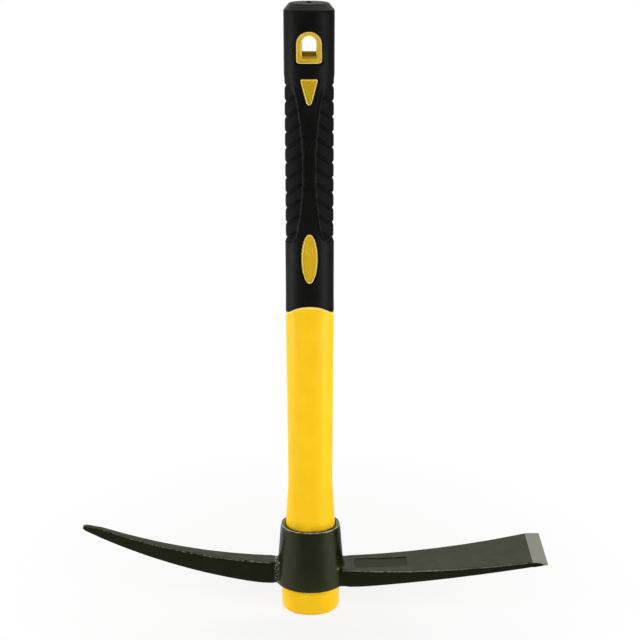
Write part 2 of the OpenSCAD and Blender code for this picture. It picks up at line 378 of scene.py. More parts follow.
start_editing(head)
print("long edges", pick(head, "EDGE", long_edge))
bpy.ops.transform.edge_crease(value=LONG_CREASE)
print("crisp edges", pick(head, "EDGE", crisp_edge))
bpy.ops.transform.edge_crease(value=1.0)
bpy.ops.mesh.mark_sharp()
tidy_normals(head)
apply_modifier(head, "SUBSURF", levels=2, render_levels=2)
count_faces(head)

# %% [markdown]
# ## The head: the pressed panel
#
# A shallow oblong panel with round corners is pressed into the blade's upper face, near the eye, and left
# plain. It could be inset from the face, but the cage has no edges where the panel ends. So a block is
# rounded, bent to the blade's own arc half a millimetre lower, and cut out.

# %% Pressed panel
PANEL_START, PANEL_LONG, PANEL_WIDE, PANEL_DEEP = 28.0, 33.0, 11.0, 0.5
PANEL_CORNER, PANEL_PARTS, BLOCK_TALL = 1.0, 12, 6


def combine(obj, other, operation="DIFFERENCE"):
    """Cuts one closed mesh out of another, or unites them, and removes the second."""
    apply_modifier(obj, "BOOLEAN", operation=operation, object=other, solver="EXACT")
    bpy.data.objects.remove(other, do_unlink=True)


panel = add_new(bpy.ops.mesh.primitive_cube_add, size=1)
start_editing(panel, "SELECT")
bpy.ops.transform.resize(value=(PANEL_LONG * MM, PANEL_WIDE * MM, BLOCK_TALL * MM))
bpy.ops.transform.translate(value=((PANEL_START + PANEL_LONG / 2) * MM, 0, BLOCK_TALL / 2 * MM))
pick(panel, "EDGE", lambda e: abs(e.verts[0].co.z - e.verts[1].co.z) > (BLOCK_TALL - 1) * MM)
bpy.ops.mesh.bevel(offset=PANEL_CORNER * MM, segments=4, affect="EDGES")
for part in range(1, PANEL_PARTS):
    bpy.ops.mesh.select_all(action="SELECT")
    cut_x = (PANEL_START + PANEL_LONG * part / PANEL_PARTS) * MM
    bpy.ops.mesh.bisect(plane_co=(cut_x, 0, 0), plane_no=(1, 0, 0))
stop_editing()
for v in panel.data.vertices:
    v.co.z += (arc(v.co.x / MM, *BLADE_TOP) - PANEL_DEEP) * MM
tidy_normals(panel)
combine(head, panel)
count_faces(head)

# %% [markdown]
# ## The head: the forged skin
#
# The tine's root shows a rough dark seam, where the forging's flash was trimmed, and all of the painted skin
# is slightly uneven. Sculpting would do it, but a displacement by a cloud texture is the same on every run. A
# vertex group says where it acts: strongly at the seam, faintly elsewhere, and not at the cutting edge.


# %% Roughen by place
def roughen(obj, size, height, weight, middle):
    """Displaces a mesh by a cloud texture, by a weight of each point's place."""
    clouds = bpy.data.textures.new(obj.name + "_clouds", "CLOUDS")
    clouds.noise_scale = size * MM
    group = obj.vertex_groups.new(name="rough")
    for v in obj.data.vertices:
        share = weight(*(v.co / MM))
        if share > 0.01:
            group.add([v.index], min(share, 1.0), "REPLACE")
    how = {"texture": clouds, "texture_coords": "LOCAL", "strength": height * MM, "mid_level": middle}
    apply_modifier(obj, "DISPLACE", vertex_group=group.name, **how)
    obj.vertex_groups.clear()


print("points to weigh", len(head.data.vertices))

# %% Seam and skin of the forging
SEAM_OUT, SEAM_HALF, SEAM_FOOT, SEAM_TOP = 21.2, 5.3, 18.6, 34.0
SEAM_FROM, SEAM_TO, SEAM_WIDE, SEAM_FINE, FAR_OFF = -25.5, -18, 0.9, 2.6, 99.0
SMOOTH_FROM, SMOOTH_TO = 120, 134


def seam_distance(x, y, z):
    """How far a point is from the outline of the tine's root, on the collar's side."""
    if not SEAM_FROM < x < SEAM_TO:
        return FAR_OFF
    beside, over = abs(y) - SEAM_HALF, max(SEAM_FOOT - z, z - SEAM_TOP)
    return abs(max(beside, over)) + 0.5 * abs(x + SEAM_OUT)


def seam_weight(x, y, z):
    return math.exp(-((seam_distance(x, y, z) / SEAM_WIDE) ** 2))


def skin_weight(x, y, z):
    return 1.0 if x < SMOOTH_FROM else max(0.0, (SMOOTH_TO - x) / (SMOOTH_TO - SMOOTH_FROM))


start_editing(head)
pick(head, "FACE", lambda f: seam_distance(*(f.calc_center_median() / MM)) < SEAM_FINE)
bpy.ops.mesh.subdivide(number_cuts=2)
stop_editing()
# Size of the clouds, height, where, and the cloud value that stays in place.
for layer in ((1.2, 1.3, seam_weight, 0.5), (11.0, 0.12, skin_weight, 0.6), (3.2, 0.035, skin_weight, 0.6)):
    roughen(head, *layer)
tidy_normals(head)
count_faces(head)

# %% [markdown]
# ## The head: where the paint rubs off and where glints are painted
#
# Paint wears first where an edge stands out: round the rim, at the seam and along the arms. A material could
# find edges by itself, but only by a costly node that the export can't keep. So each point is compared with
# its neighbours here, and the value is stored on the mesh for the paint to read.
# The same value also paints these edges light, as painted highlights and glints as well as wear.


# %% Stored values
def read_points(obj, what="co"):
    """Every point's place in metres, or its normal."""
    values = np.empty(len(obj.data.vertices) * 3)
    obj.data.vertices.foreach_get(what, values)
    return values.reshape(-1, 3)


def store_share(obj, name, values):
    """Keeps one value for each point, for a material to read."""
    obj.data.attributes.new(name, "FLOAT", "POINT").data.foreach_set("value", values)
    print(name, "over a half at", int((np.asarray(values) > 0.5).sum()), "points")


def edge_wear_and_glint(obj, sharp):
    """How far each point stands out from its neighbours, up to 1, where it isn't turned down."""
    place, normal = read_points(obj), read_points(obj, "normal")
    ends = np.empty(len(obj.data.edges) * 2, dtype=int)
    obj.data.edges.foreach_get("vertices", ends)
    a, b = ends.reshape(-1, 2).T
    way = place[b] - place[a]
    way /= np.linalg.norm(way, axis=1, keepdims=True) + 1e-12
    drop, links = np.zeros(len(place)), np.zeros(len(place))
    for here, sign in ((a, -1), (b, 1)):
        np.add.at(drop, here, sign * (way * normal[here]).sum(axis=1))
        np.add.at(links, here, 1)
    standing = np.clip(drop / np.maximum(links, 1) / sharp, 0, 1)
    return standing * np.clip((normal[:, 2] + 0.35) / 0.5, 0, 1)


# %% Wear, painted glints and panel on the head
EDGE_SHARP = 0.11
# How strongly the edges are rubbed and painted light as glints: round the rim, at the seam and on the tine.
RIM_RUB_GLINT, SEAM_RUB_GLINT, TINE_RUB_GLINT = 1.7, 1.45, 0.8
RIM_FROM, RIM_HALF, SEAM_NEAR = 58.6, 19, 1.2
PANEL_FOOT, PANEL_SUNK = 30, 0.25
at = read_points(head) / MM
x, y, z = at.T
rim_ring = (z > RIM_FROM) & (np.abs(x) < RIM_HALF)
at_seam = np.array([seam_distance(*p) < SEAM_NEAR for p in at])
rub_and_glint = np.select([rim_ring, at_seam, x < 0], [RIM_RUB_GLINT, SEAM_RUB_GLINT, TINE_RUB_GLINT], 1.0)
in_panel = (x > PANEL_START - 1) & (x < PANEL_START + PANEL_LONG + 1)
in_panel &= (np.abs(y) < PANEL_WIDE / 2 + 1) & (z > PANEL_FOOT)
sunk = z < np.array([arc(out, *BLADE_TOP) for out in x]) - PANEL_SUNK
store_share(head, "edge_wear_and_glint", edge_wear_and_glint(head, EDGE_SHARP) * (rub_and_glint * ~in_panel))
store_share(head, "pressed", (in_panel & sunk).astype(float))

# %% [markdown]
# ## The jacket: its body
#
# The yellow jacket is one moulding: a butt with a rounded edge, a flare that jams in the eye, a slight waist
# above the collar, a straight shaft, and a thinner part that the rubber covers. The rings follow that profile
# from the butt to the top. The shaft ends at the rubber in a thin bead and an arch, higher at the front and
# back, with a dip at the sides, so the rings near that end are lifted to the arch afterwards.

# %% Jacket body
JACKET_STEPS, BUTT_HALF, BUTT_ROUND = 112, 15.2, 3
SHAFT_HEIGHTS, SHAFT_HALVES = (14, 74, 89, 201.5), (18.2, 14.55, 13.6, 14.2)
SHAFT_STOPS = (8, 11, 13, 15, 17, 20, 30, 40, 50, 60, 68, 71, 73, 75, 77, 80, 83, 86, 88, 90, 92, 95)
SHAFT_STOPS += (110, 130, 150, 170, 182, 190)
RUBBER_FOOT, ARCH_HALF, ARCH_RADIUS, ARCH_CENTRE, SIDE_DIP = 202.7, 11.6, 16.67, 190.73, 1.75
# Half width, and height from the rubber's foot.
BEAD = ((14.2, -4.5), (14.2, -0.95), (14.28, -0.8), (14.34, -0.58))
BEAD += ((14.34, -0.3), (14.24, -0.1), (14.0, 0), (11.7, 0.02))
UNDER_RUBBER = ((11.7, 214), (11.7, 260), (11.7, 320), (11.7, 374.9), (11.2, 375.4))


def shaft_half(z):
    """Half width of the shaft, with its corners eased over six millimetres."""
    return float(np.mean([np.interp(z + d, SHAFT_HEIGHTS, SHAFT_HALVES) for d in np.linspace(-3, 3, 7)]))


def arch_lift(x):
    """How far the rubber's foot rises above the arch's ends, or dips below them at the sides."""
    if abs(x) < ARCH_HALF:
        return math.sqrt(ARCH_RADIUS**2 - x**2) + ARCH_CENTRE - RUBBER_FOOT
    return SIDE_DIP * (ARCH_HALF**2 - x**2) / (SHAFT_HALVES[-1] ** 2 - ARCH_HALF**2)


def lift_to_arch(obj, start, full_from, full_to, end):
    """Raises the rings near the rubber's foot onto the arch, fading out above and below."""
    for v in obj.data.vertices:
        share = float(np.interp(v.co.z / MM, (start, full_from, full_to, end), (0, 1, 1, 0)))
        v.co.z += share * arch_lift(v.co.x / MM) * MM


quarter = np.linspace(0, math.pi / 2, 6)
butt = [(BUTT_HALF + BUTT_ROUND * math.sin(t), BUTT_ROUND - BUTT_ROUND * math.cos(t)) for t in quarter]
shaft = [(shaft_half(z), z) for z in SHAFT_STOPS]
bead = [(half, RUBBER_FOOT + rise) for half, rise in BEAD]
jacket = ring_stack("yellow_jacket", [*butt, *shaft, *bead, *UNDER_RUBBER], JACKET_STEPS)
fill_ends(jacket)
lift_to_arch(jacket, start=172, full_from=RUBBER_FOOT - 3.5, full_to=RUBBER_FOOT + 0.5, end=213)
count_faces(jacket)

# %% [markdown]
# ## Outlines on the oval
#
# Three windows in the rubber show parts of the jacket: an arched frame round the hang hole, a wedge, and a
# long oval. Each is drawn once as a flat outline and laid on the oval of the grip. The skin through a row of
# outlines is extruded from a circle: each new ring is laid on the next outline, and the ends are closed.


# %% Skin through outlines
def skin_through(name, outlines, close=fill_ends):
    """A closed skin through outlines of equal count."""
    obj = add_new(bpy.ops.mesh.primitive_circle_add, vertices=len(outlines[0]), radius=1)
    obj.name = obj.data.name = name
    numbers = obj.data.attributes.new("place", "INT", "POINT")
    numbers.data.foreach_set("value", range(len(outlines[0])))
    start_editing(obj, "SELECT")
    for i, outline in enumerate(outlines):
        if i:
            extrude()
        mesh = bmesh.from_edit_mesh(obj.data)
        place = mesh.verts.layers.int["place"]
        for v in mesh.verts:
            if v.select:
                v.co = [c * MM for c in outline[v[place]]]
        bmesh.update_edit_mesh(obj.data)
    close(obj)
    return obj


def straight(a, b, steps):
    """Points between two corners, without the corners."""
    return [tuple(np.array(a) + (np.array(b) - a) * i / steps) for i in range(1, steps)]


def bow(x, z, radius, start, end, steps):
    """Points on an arc, from one angle to another."""
    turns = np.radians(np.linspace(start, end, steps))
    return [(x + radius * math.cos(t), z + radius * math.sin(t)) for t in turns]


print("a quarter bow", [(round(x, 2), round(z, 2)) for x, z in bow(0, 0, 1, 0, 90, 3)])

# %% The three outlines
# Half width, foot, top and corner radius of each arch.
FRAME, HOLE = (7, 348.45, 365.65, 1.5), (4, 352.05, 363.15, 0.6)
WEDGE_TOP, WEDGE_TIP, WEDGE_FLANK, WEDGE_ROUND = 339.9, (0.0, 327.3), -14.95, 1.6
WEDGE_CORNER_X, WEDGE_CORNER = 3.85, 0.9
OVAL_MIDDLE, OVAL_WIDE, OVAL_TALL, OVAL_STEPS = 236.5, 4.55, 14.75, 96


def arched(shape, grow):
    """An arch on a square foot with round corners, grown all round."""
    half, foot, top, corner = shape
    half, foot, top, corner = half + grow, foot - grow, top + grow, max(corner + grow, 0.3)
    crown = bow(0, top - half, half, 0, 180, 33)
    left = bow(corner - half, foot + corner, corner, 180, 270, 7)
    right = bow(half - corner, foot + corner, corner, 270, 360, 7)
    down, along = straight(crown[-1], left[0], 8), straight(left[-1], right[0], 10)
    return [*crown, *down, *left, *along, *right, *straight(right[-1], crown[0], 8)]


def frame_outline(grow):
    return arched(FRAME, grow)


def hole_outline(grow):
    return arched(HOLE, grow)


def wedge_outline(grow):
    """A wedge with its point down and round corners."""
    right = bow(WEDGE_CORNER_X, WEDGE_TOP - WEDGE_CORNER, WEDGE_CORNER + grow, 90, WEDGE_FLANK, 8)
    point = bow(*WEDGE_TIP, WEDGE_ROUND + grow, WEDGE_FLANK, -180 - WEDGE_FLANK, 17)
    left = [(-x, z) for x, z in reversed(right)]
    down, up = straight(right[-1], point[0], 12), straight(point[-1], left[0], 12)
    return [*right, *down, *point, *up, *left, *straight(left[-1], right[0], 8)]


def oval_outline(grow):
    turns = np.linspace(0, 2 * math.pi, OVAL_STEPS, endpoint=False)
    wide, tall = OVAL_WIDE + grow, OVAL_TALL + grow
    return [(wide * math.cos(t), OVAL_MIDDLE + tall * math.sin(t)) for t in turns]


for outline in (frame_outline, hole_outline, wedge_outline, oval_outline):
    print(outline.__name__, len(outline(0)), "points")

# %% [markdown]
# ## The jacket: hole frame and islands
#
# The frame runs right through the handle, so its skin goes from the front face, through the hole, to the back
# face, and closes on itself inside the handle. Each face has a narrow raised lip round a lower field. The
# wedge and the long oval have the same lip and field, and stand on the jacket at the front and the back.

# %% Hole frame
GRIP_HALF, FRAME_ROOT = 14.1, 6.0
# How far out from an outline, and the rise over the grip's plain oval.
FRAME_LIP = ((0, -0.15), (-0.12, 0.1), (-0.62, 0.1), (-0.85, -0.25))
HOLE_EDGE = ((1.0, -0.28), (0.3, -0.85), (0, -1.3))


def grip_front(x):
    """How far the grip's plain oval reaches forward at a place across it."""
    return GRIP_HALF * OVAL * math.sqrt(max(1 - (x / GRIP_HALF) ** 2, 0))


def on_grip(outline, rise, back=1):
    """Lays an outline on the grip's oval, raised by rise; back is -1 for the far side."""
    return [(x, -back * (grip_front(x) + rise), z) for x, z in outline]


def at_depth(outline, y):
    """Stands an outline up straight at one depth."""
    return [(x, y, z) for x, z in outline]


frame_face = [(frame_outline(grow), rise) for grow, rise in FRAME_LIP]
frame_face += [(hole_outline(grow), rise) for grow, rise in HOLE_EDGE]
front = [on_grip(outline, rise) for outline, rise in frame_face]
rear = [on_grip(outline, rise, back=-1) for outline, rise in reversed(frame_face)]
root_front, root_rear = (at_depth(frame_outline(0), y) for y in (-FRAME_ROOT, FRAME_ROOT))
hole_frame = skin_through("hole_frame", [root_front, *front, *rear, root_rear], close=bridge_ends)
count_faces(hole_frame)

# %% Islands
ISLAND_ROOT, HOLE_ROOM, HOLE_DEPTH = 6.5, 0.8, 15
ISLAND_LIP = ((0, -0.15), (-0.1, 0.08), (-0.6, 0.08), (-0.82, -0.16))
FIELD_RISE, FIELD_SHARES = -0.18, (0.8, 0.55, 0.3, 0.1)


def shrink(outline, share):
    """An outline drawn in towards its middle."""
    middle = np.mean(outline, axis=0)
    return [tuple(middle + (np.array(p) - middle) * share) for p in outline]


def island(name, outline, back):
    """A raised island with a lip round a lower field, rooted inside the jacket."""
    levels = [(outline(grow), rise) for grow, rise in ISLAND_LIP]
    field = levels[-1][0]
    levels += [(shrink(field, share), FIELD_RISE) for share in FIELD_SHARES]
    root = at_depth(outline(0), -back * ISLAND_ROOT)
    return skin_through(name, [root, *(on_grip(o, rise, back) for o, rise in levels)])


def prism(name, outline, depth):
    """A straight block with the given outline, as far behind the middle as before it."""
    return skin_through(name, [at_depth(outline, -depth), at_depth(outline, depth)])


combine(jacket, prism("hole_space", hole_outline(HOLE_ROOM), HOLE_DEPTH))
combine(jacket, hole_frame, "UNION")
for back in (1, -1):
    for title, outline in (("wedge_island", wedge_outline), ("oval_island", oval_outline)):
        combine(jacket, island(title, outline, back), "UNION")
count_faces(jacket)

# %% Bore for the rod
BORE_RADIUS, BORE_LONG, BORE_TOP, BORE_STEPS = 6.05, 345, 340.05, 64
bore_middle = (0, 0, (BORE_TOP - BORE_LONG / 2) * MM)
bore_size = {"radius": BORE_RADIUS * MM, "depth": BORE_LONG * MM}
bore = add_new(bpy.ops.mesh.primitive_cylinder_add, vertices=BORE_STEPS, location=bore_middle, **bore_size)
bpy.ops.object.transform_apply()
combine(jacket, bore)
fill_ends(jacket)
count_faces(jacket)

# %% [markdown]
# ## The grip: its shell
#
# The rubber is a sleeve closed at the top. Its rings run down the inside, round the foot, up the outside and
# over a chamfered top with a small moulding nub. The outside then gets many even rows, because its lobes and
# grooves are finer than any modifier could cut cleanly.

# %% Grip shell
GRIP_STEPS, SKIN_HALF = 224, 13
GRIP_EDGE, FIELD_FOOT, FIELD_TOP, GRIP_SHOULDER = RUBBER_FOOT + 0.8, 229.0, 345.0, 375.5
# How many rows are added above each of these heights.
ROWS = {GRIP_EDGE: 38, FIELD_FOOT: 285, FIELD_TOP: 44}
INSIDE_RINGS = ((11.75, 375.55), (11.75, 214), (11.75, RUBBER_FOOT + 0.25))
FOOT_SHAPE = ((11.9, 0.1), (13.5, 0.08), (13.85, 0.18), (14.04, 0.42))
TOP_RINGS = ((14.03, 375.9), (13.82, 376.3), (11.35, 379.4), (10.95, 379.75), (10.4, 379.92), (6.0, 380.0))
NUB_RINGS = ((1.75, 380.0), (1.42, 380.08), (1.3, 380.25), (1.2, 380.6), (0.9, 380.76), (0.4, 380.8))


def side_edge(edge, foot):
    """Whether an edge runs up the plain outside of the sleeve, from a ring at a height."""
    low, high = sorted(v.co.z / MM for v in edge.verts)
    at = edge.verts[0].co
    return abs(low - foot) < 0.01 and high - low > 20 and abs(at.x) + abs(at.y) / OVAL > SKIN_HALF * MM


foot_rings = [(half, RUBBER_FOOT + rise) for half, rise in FOOT_SHAPE]
side_rings = [(GRIP_HALF, z) for z in (*ROWS, GRIP_SHOULDER)]
grip_rings = [*INSIDE_RINGS, *foot_rings, *side_rings, *TOP_RINGS, *NUB_RINGS]
grip = ring_stack("rubber_grip", grip_rings, GRIP_STEPS)
start_editing(grip)
for foot, rows in ROWS.items():
    print("side edges", pick(grip, "EDGE", lambda edge: side_edge(edge, foot)))
    bpy.ops.mesh.subdivide_edgering(number_cuts=rows, interpolation="LINEAR", smoothness=0)
stop_editing()
fill_ends(grip)
count_faces(grip)

# %% [markdown]
# ## The grip: lobes and grooves
#
# Each side of the grip has a field of slanting grooves with soft lobes between them, which fades out beside
# the wedge. A smooth panel with a narrow waist runs down the middle, bordered by a thin raised line. It could
# be sculpted, but its spacing is regular, so it is written as a height over the plain oval.

# %% Waist, windows and groove rows
GROOVE_FIRST, GROOVE_PITCH, GROOVES, GROOVE_LEAN = 246.8, 8.79, 11, math.radians(36)
FADE_FROM, FADE_TO = 329.0, 337.0
WAIST_Z, WAIST_HALF, WIDENS_ABOVE, WIDENS_BELOW = 290.0, 3.0, 414, 430
TURN_Z, TURN_WIDE, TURN_SOFT = 242.0, 16, 2.2


def ease(t):
    """A soft step from 0 to 1."""
    t = np.clip(t, 0, 1)
    return t * t * (3 - 2 * t)


def waist(z):
    """Half width of the smooth panel, which turns out sharply under the lowest lobe."""
    widening = (z - WAIST_Z) ** 2 / np.where(z > WAIST_Z, WIDENS_ABOVE, WIDENS_BELOW)
    return WAIST_HALF + widening + TURN_WIDE * np.exp((TURN_Z - z) / TURN_SOFT)


def window_gap(x, z):
    """Distance from the nearest window's outline, roughly, outside it."""
    half, foot, top, _ = FRAME
    across, spring = np.abs(x), top - half
    beside = np.maximum(across - half, foot - z)
    arch = np.where(z > spring, np.hypot(x, z - spring) - half, beside)
    lean = math.radians(WEDGE_FLANK)
    flank = across * math.cos(lean) + (z - WEDGE_TIP[1]) * math.sin(lean) - WEDGE_ROUND
    wedge = np.maximum(flank, z - WEDGE_TOP)
    u, w = x / OVAL_WIDE, (z - OVAL_MIDDLE) / OVAL_TALL
    reach = np.hypot(u, w) + 1e-9
    oval = (reach - 1) * reach / (np.hypot(u / OVAL_WIDE, w / OVAL_TALL) + 1e-9)
    return np.minimum(np.minimum(arch, wedge), oval)


def groove_row(x, z):
    """Which groove a place is at, counted from the lowest."""
    return (z - GROOVE_FIRST - math.tan(GROOVE_LEAN) * (GRIP_HALF - np.abs(x))) / GROOVE_PITCH


print("half width of the panel", [round(float(waist(z)), 2) for z in (246, 260, WAIST_Z, 320)])

# %% Height of the relief
LOBE_SINK, LOBE_CROWN, GROOVE_DEEP, GROOVE_HALF, GROOVE_STEEP = 0.42, 0.12, 0.74, 0.72, 2.4
FIELD_GAP, FIELD_SOFT, FADE_RATE = 0.5, 0.9, 0.5
# In pitches: how far the field runs past its first groove, stops short of its last, and is eased.
ROW_BEFORE, ROW_SHORT, ROW_EASE = 0.95, 0.25, 0.35
BORDER_RISE, BORDER_HALF, BORDER_FOOT, BORDER_EASE, PANEL_SINK, PANEL_EASE = 0.24, 0.5, 243, 2, 0.14, 0.8
WINDOW_SINK, WINDOW_EASE = 0.42, 0.55
FOOT_RISE, FOOT_TOP, FOOT_EASE, BROW_RISE = 0.12, 212, 8, 1.0


def lobe_field(x, z):
    """Where the lobes and grooves are, from 0 to 1."""
    row = groove_row(x, z)
    soft = FIELD_SOFT + FADE_RATE * np.maximum(z - FADE_FROM, 0)
    beside = ease((np.abs(x) - waist(z) - FIELD_GAP) / soft)
    return beside * ease((row + ROW_BEFORE) / ROW_EASE) * ease((GROOVES - ROW_SHORT - row) / ROW_EASE)


def relief(x, z):
    """Height of the rubber over its plain oval."""
    across, row = np.abs(x), groove_row(x, z)
    nearest = np.clip(np.round(row), 0, GROOVES - 1)
    away = (row - nearest) * GROOVE_PITCH * math.cos(GROOVE_LEAN)
    groove = np.exp(-np.abs(away / GROOVE_HALF) ** GROOVE_STEEP)
    crown = 1 - (1 - 2 * np.abs(row - np.round(row))) ** 2
    lobes = lobe_field(x, z) * (-LOBE_SINK + LOBE_CROWN * crown - GROOVE_DEEP * groove)
    border_span = ease((z - BORDER_FOOT) / BORDER_EASE) * ease((FADE_TO - z) / (FADE_TO - FADE_FROM))
    border = BORDER_RISE * border_span * np.exp(-(((across - waist(z)) / BORDER_HALF) ** 2))
    panel = -PANEL_SINK * border_span * ease((waist(z) - across) / PANEL_EASE)
    edge = -WINDOW_SINK * np.exp(-((np.maximum(window_gap(x, z), 0) / WINDOW_EASE) ** 2))
    return lobes + border + panel + edge + FOOT_RISE * ease((FOOT_TOP - z) / FOOT_EASE)


def brow_rise(x):
    """How far the top's chamfer starts higher at the front and back than at the sides."""
    return BROW_RISE * (1 - (x / GRIP_HALF) ** 2)


print("brow rise in the middle", brow_rise(0), "mm")

# %% Relief on the grip
BROW_HEIGHTS, BROW_SHARES = (367, GRIP_SHOULDER, 376.4, 379.3), (0, 1, 1, 0)
place = read_points(grip) / MM
x, y, z = place.T
skin = np.hypot(x, y / OVAL) > SKIN_HALF
outer = skin & (z > GRIP_EDGE - 0.01) & (z < GRIP_SHOULDER + 0.01)
out_way = np.column_stack([x, y / OVAL**2])
out_way /= np.linalg.norm(out_way, axis=1, keepdims=True) + 1e-12
height = relief(x, z) * outer
place[:, :2] += out_way * height[:, None]
place[:, 2] += skin * np.interp(z, BROW_HEIGHTS, BROW_SHARES) * brow_rise(place[:, 0])
grip.data.vertices.foreach_set("co", (place * MM).ravel())
lift_to_arch(grip, RUBBER_FOOT - 0.5, RUBBER_FOOT, RUBBER_FOOT + 0.9, FOOT_TOP)
print("relief from", round(float(height.min()), 2), "to", round(float(height.max()), 2), "mm")

# %% Windows in the rubber
WINDOW_ROOM, WINDOW_DEPTH = 0.4, 18
for title, outline in (("frame", frame_outline), ("wedge", wedge_outline), ("oval", oval_outline)):
    combine(grip, prism(title + "_window", outline(WINDOW_ROOM), WINDOW_DEPTH))
tidy_normals(grip)
count_faces(grip)

# %% Where the rubber is matt or painted light on its top
TOP_LIGHT_FOOT, MATT_TOP, NUB_FOOT = 376.1, 379.5, 380.04
x, y, z = (read_points(grip) / MM).T
store_share(grip, "matt_field", np.maximum(lobe_field(x, z), z > MATT_TOP))
# The top's chamfer is painted paler, as light from above would make it.
store_share(grip, "painted_top_light", ((z - brow_rise(x) > TOP_LIGHT_FOOT) & (z < NUB_FOOT)).astype(float))

# %% [markdown]
# ## Shared effects
#
# Three effects return in several finishes: a tone that varies slightly, a fine grain, and rubbed edges. Each
# is a node group, so that a material only sets its own sizes and colours. They read Object coordinates, which
# keep their scale in metres on every piece.


# %% Node helpers
def add_node(tree, kind, links=(), **settings):
    """A node with its settings made, and its inputs linked or set by name or number."""
    node = tree.nodes.new(kind)
    for name, value in settings.items():
        setattr(node, name, value)
    for socket, value in dict(links).items():
        if isinstance(value, bpy.types.NodeSocket):
            tree.links.new(value, node.inputs[socket])
        else:
            node.inputs[socket].default_value = value
    return node


def object_place(tree):
    """A point's place on its piece, in metres."""
    return add_node(tree, "ShaderNodeTexCoord").outputs["Object"]


def read_share(tree, name):
    """A value that was stored on the mesh."""
    return add_node(tree, "ShaderNodeAttribute", attribute_name=name).outputs["Fac"]


def calc(tree, operation, a, b):
    """A sum, product or other result of two values."""
    return add_node(tree, "ShaderNodeMath", {0: a, 1: b}, operation=operation).outputs[0]


def noise(tree, vector, size, detail, rough):
    """A noise whose size may be a number or a linked value."""
    inputs = {"Vector": vector, "Scale": size, "Detail": detail, "Roughness": rough}
    return add_node(tree, "ShaderNodeTexNoise", inputs).outputs["Fac"]


def ramp(tree, value, low=0.0, high=1.0, to_low=0.0, to_high=1.0):
    """A value stretched from one range to another, and held at its ends."""
    inputs = {"Value": value, "From Min": low, "From Max": high, "To Min": to_low, "To Max": to_high}
    return add_node(tree, "ShaderNodeMapRange", inputs).outputs["Result"]


def blend(tree, share, a, b):
    """A mix of two colours, which may be linked or plain."""
    return add_node(tree, "ShaderNodeMix", {0: share, 6: a, 7: b}, data_type="RGBA").outputs[2]


def new_group(name, **inputs):
    """An empty shader node group with named inputs, each a number or a colour, and their sockets."""
    group = bpy.data.node_groups.new(name, "ShaderNodeTree")
    for title, value in inputs.items():
        kind = "NodeSocketFloat" if isinstance(value, float) else "NodeSocketColor"
        group.interface.new_socket(title, in_out="INPUT", socket_type=kind).default_value = value
    return group, group.nodes.new("NodeGroupInput").outputs


def close_group(group, **outputs):
    """Gives a node group its named outputs, each fed by a socket."""
    for title, socket in outputs.items():
        kind = "NodeSocketColor" if socket.type == "RGBA" else "NodeSocketFloat"
        group.interface.new_socket(title, in_out="OUTPUT", socket_type=kind)
    add_node(group, "NodeGroupOutput", outputs)
    print("group", group.name, "gives", list(outputs))


# %% Three effects
uneven_tone, given = new_group("uneven_tone", Colour=(1, 1, 1, 1), Deeper=(0, 0, 0, 1), Scale=40.0)
clouds = noise(uneven_tone, object_place(uneven_tone), given["Scale"], 4.0, 0.6)
share = ramp(uneven_tone, clouds, 0.32, 0.68)
close_group(uneven_tone, Colour=blend(uneven_tone, share, given["Colour"], given["Deeper"]))

fine_grain, given = new_group("fine_grain", Scale=900.0, Roughest=0.6, Smoothest=0.4)
at = object_place(fine_grain)
broad = noise(fine_grain, at, 130.0, 3.0, 0.6)
rough = ramp(fine_grain, broad, 0.3, 0.7, given["Smoothest"], given["Roughest"])
close_group(fine_grain, Height=noise(fine_grain, at, given["Scale"], 3.0, 0.55), Roughness=rough)

# Rubbed edges, which are also painted light as highlights and glints where they stand out.
rubbed_glinting_edges, given = new_group("rubbed_glinting_edges", Edge=0.0, Scale=260.0, Onset=0.5)
patchy = noise(rubbed_glinting_edges, object_place(rubbed_glinting_edges), given["Scale"], 4.0, 0.65)
worn = calc(rubbed_glinting_edges, "ADD", given["Edge"], calc(rubbed_glinting_edges, "MULTIPLY", patchy, 1.4))
past_onset = calc(rubbed_glinting_edges, "SUBTRACT", worn, given["Onset"])
close_group(rubbed_glinting_edges, Mask=ramp(rubbed_glinting_edges, past_onset, 0.0, 0.35))

# %% [markdown]
# ## Finishes
#
# The head has a thin olive-black paint, shinier on the collar, rubbed bare along its rim and half bare along
# the arms, and these worn edges are painted light as highlights and glints too. The cutting edge is ground to
# steel. The jacket is a satin moulded plastic; the textured fields of its islands are darker by painted shade,
# their lips and the bead are paler by a painted highlight, and a patchy ring of painted shade lies where each
# end of the eye sits. The rubber is matt, duller in the lobes, and painted paler on its top chamfer, as if lit
# from above.


# %% Material helpers
def new_finish(name, **plain):
    """A material with its shader's plain values set, and its tree and shader."""
    material = bpy.data.materials.new(name)
    material.use_nodes = True
    shader = material.node_tree.nodes["Principled BSDF"]
    for title, value in plain.items():
        shader.inputs[title.replace("_", " ")].default_value = value
    return material, material.node_tree, shader


def place_group(tree, group, **values):
    """The outputs of a node group placed in a material with its own values."""
    return add_node(tree, "ShaderNodeGroup", values, node_tree=group).outputs


def add_bump(tree, shader, height, strength, distance):
    """A bump from a height, in millimetres, on the shader's normal."""
    inputs = {"Strength": strength, "Distance": distance * MM, "Height": height}
    bump = add_node(tree, "ShaderNodeBump", inputs).outputs["Normal"]
    tree.links.new(bump, shader.inputs["Normal"])


